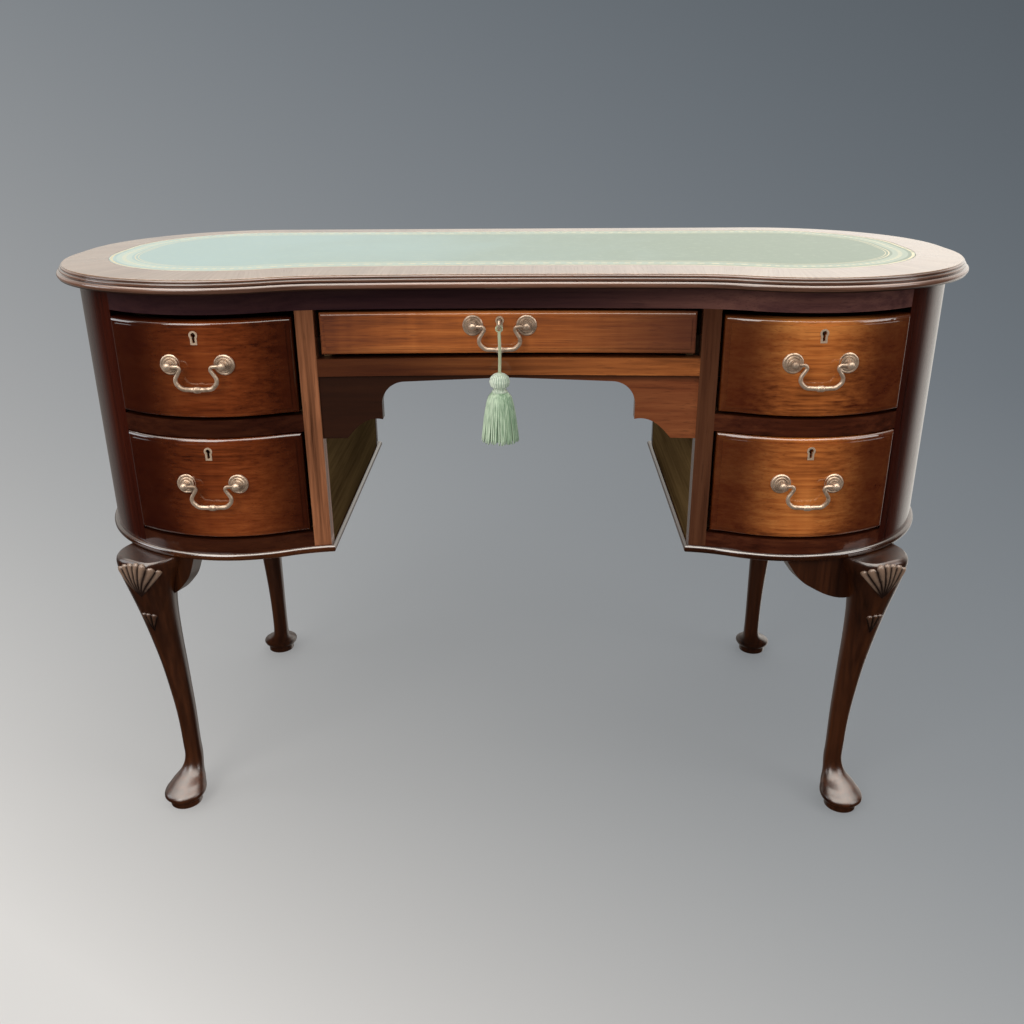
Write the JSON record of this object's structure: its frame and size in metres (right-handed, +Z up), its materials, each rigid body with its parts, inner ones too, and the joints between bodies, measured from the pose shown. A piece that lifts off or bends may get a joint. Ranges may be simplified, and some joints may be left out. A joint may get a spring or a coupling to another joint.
{
  "type": "kidney-shaped desk",
  "caption": "Kidney-shaped mahogany writing desk with a leather top, drawers with bail handles, a kneehole, and cabriole legs on pad feet.",
  "frame": {"origin": "on the floor, under the middle of the top's width and depth", "axes": "+X to the right of someone facing the drawers, +Y from the drawers to the back, +Z up"},
  "size_m": [1.246, 0.532, 0.7855],
  "materials": {
    "polished_mahogany": "french polished, dark red-brown",
    "figured_mahogany": "french polished, streaky figure",
    "crossbanding": "polished veneer laid across the edge",
    "lining_wood": "bare oak, aged",
    "writing_leather": "glazed hide, pale sage, tooled with gold lines",
    "brass": "cast, aged and rubbed",
    "steel": "dull",
    "tassel_thread": "twisted silk, pale green"
  },
  "bodies": {
    "carcase": {"top_board": "polished_mahogany", "top_crossband": "crossbanding", "writing_leather": "writing_leather", "front_top_rail": "polished_mahogany", "centre_rail": "polished_mahogany", "kneehole_apron": "polished_mahogany", "back_frieze": "polished_mahogany", "drawer_runners": "lining_wood", "drawer_partitions": "lining_wood", "glue_blocks": "lining_wood", "knee_brackets": "polished_mahogany", "leg_bolts": "steel", "right_stile": "polished_mahogany", "right_end_panel": "polished_mahogany", "right_inner_side": "polished_mahogany", "right_drawer_rails": "polished_mahogany", "right_base_board": "polished_mahogany", "front_right_leg": "polished_mahogany", "back_right_leg": "polished_mahogany", "left_stile": "polished_mahogany", "left_end_panel": "polished_mahogany", "left_inner_side": "polished_mahogany", "left_drawer_rails": "polished_mahogany", "left_base_board": "polished_mahogany", "front_left_leg": "polished_mahogany", "back_left_leg": "polished_mahogany"},
    "centre_drawer": {"centre_drawer_front": "figured_mahogany", "centre_drawer_box": "lining_wood", "centre_drawer_bottom": "lining_wood", "centre_drawer_handle_plates": "brass", "centre_drawer_lock": "brass"},
    "centre_bail": {"centre_drawer_bail": "brass"},
    "upper_left_drawer": {"upper_left_drawer_front": "figured_mahogany", "upper_left_drawer_box": "lining_wood", "upper_left_drawer_bottom": "lining_wood", "upper_left_drawer_handle_plates": "brass", "upper_left_drawer_lock": "brass"},
    "upper_left_bail": {"upper_left_drawer_bail": "brass"},
    "upper_right_drawer": {"upper_right_drawer_front": "figured_mahogany", "upper_right_drawer_box": "lining_wood", "upper_right_drawer_bottom": "lining_wood", "upper_right_drawer_handle_plates": "brass", "upper_right_drawer_lock": "brass"},
    "upper_right_bail": {"upper_right_drawer_bail": "brass"},
    "lower_left_drawer": {"lower_left_drawer_front": "figured_mahogany", "lower_left_drawer_box": "lining_wood", "lower_left_drawer_bottom": "lining_wood", "lower_left_drawer_handle_plates": "brass", "lower_left_drawer_lock": "brass"},
    "lower_left_bail": {"lower_left_drawer_bail": "brass"},
    "lower_right_drawer": {"lower_right_drawer_front": "figured_mahogany", "lower_right_drawer_box": "lining_wood", "lower_right_drawer_bottom": "lining_wood", "lower_right_drawer_handle_plates": "brass", "lower_right_drawer_lock": "brass"},
    "lower_right_bail": {"lower_right_drawer_bail": "brass"},
    "turning_key": {"key": "brass"},
    "hanging_tassel": {"tassel_cord": "tassel_thread", "tassel_head": "tassel_thread", "tassel_skirt": "tassel_thread"}
  },
  "joints": [
    {"name": "centre_drawer_slide", "type": "slide", "parent": "carcase", "child": "centre_drawer", "axis": [0, -1, 0], "range_m": [0, 0.26]},
    {"name": "upper_left_drawer_slide", "type": "slide", "parent": "carcase", "child": "upper_left_drawer", "axis": [0, -1, 0], "range_m": [0, 0.26]},
    {"name": "upper_right_drawer_slide", "type": "slide", "parent": "carcase", "child": "upper_right_drawer", "axis": [0, -1, 0], "range_m": [0, 0.26]},
    {"name": "lower_left_drawer_slide", "type": "slide", "parent": "carcase", "child": "lower_left_drawer", "axis": [0, -1, 0], "range_m": [0, 0.26]},
    {"name": "lower_right_drawer_slide", "type": "slide", "parent": "carcase", "child": "lower_right_drawer", "axis": [0, -1, 0], "range_m": [0, 0.26]},
    {"name": "centre_bail_hinge", "type": "hinge", "parent": "centre_drawer", "child": "centre_bail", "pos_m": [-0.01, -0.21601, 0.7195], "axis": [-1, 0, 0], "range_deg": [0, 20]},
    {"name": "upper_left_bail_hinge", "type": "hinge", "parent": "upper_left_drawer", "child": "upper_left_bail", "pos_m": [-0.388, -0.25392, 0.6785], "axis": [-1, 0, 0], "range_deg": [0, 90]},
    {"name": "upper_right_bail_hinge", "type": "hinge", "parent": "upper_right_drawer", "child": "upper_right_bail", "pos_m": [0.388, -0.25392, 0.6785], "axis": [-1, 0, 0], "range_deg": [0, 90]},
    {"name": "lower_left_bail_hinge", "type": "hinge", "parent": "lower_left_drawer", "child": "lower_left_bail", "pos_m": [-0.388, -0.25392, 0.51935], "axis": [-1, 0, 0], "range_deg": [0, 90]},
    {"name": "lower_right_bail_hinge", "type": "hinge", "parent": "lower_right_drawer", "child": "lower_right_bail", "pos_m": [0.388, -0.25392, 0.51935], "axis": [-1, 0, 0], "range_deg": [0, 90]},
    {"name": "key_turn", "type": "hinge", "parent": "centre_drawer", "child": "turning_key", "pos_m": [-0.01, -0.20651, 0.7255], "axis": [0, 1, 0], "range_deg": [0, 90]},
    {"name": "tassel_swing", "type": "hinge", "parent": "turning_key", "child": "hanging_tassel", "pos_m": [-0.01, -0.23351, 0.7205], "axis": [0, 1, 0], "range_deg": [-90, 0]}
  ],
  "couplings": [
    {"joint": "tassel_swing", "follows": "key_turn", "ratio": -1}
  ]
}
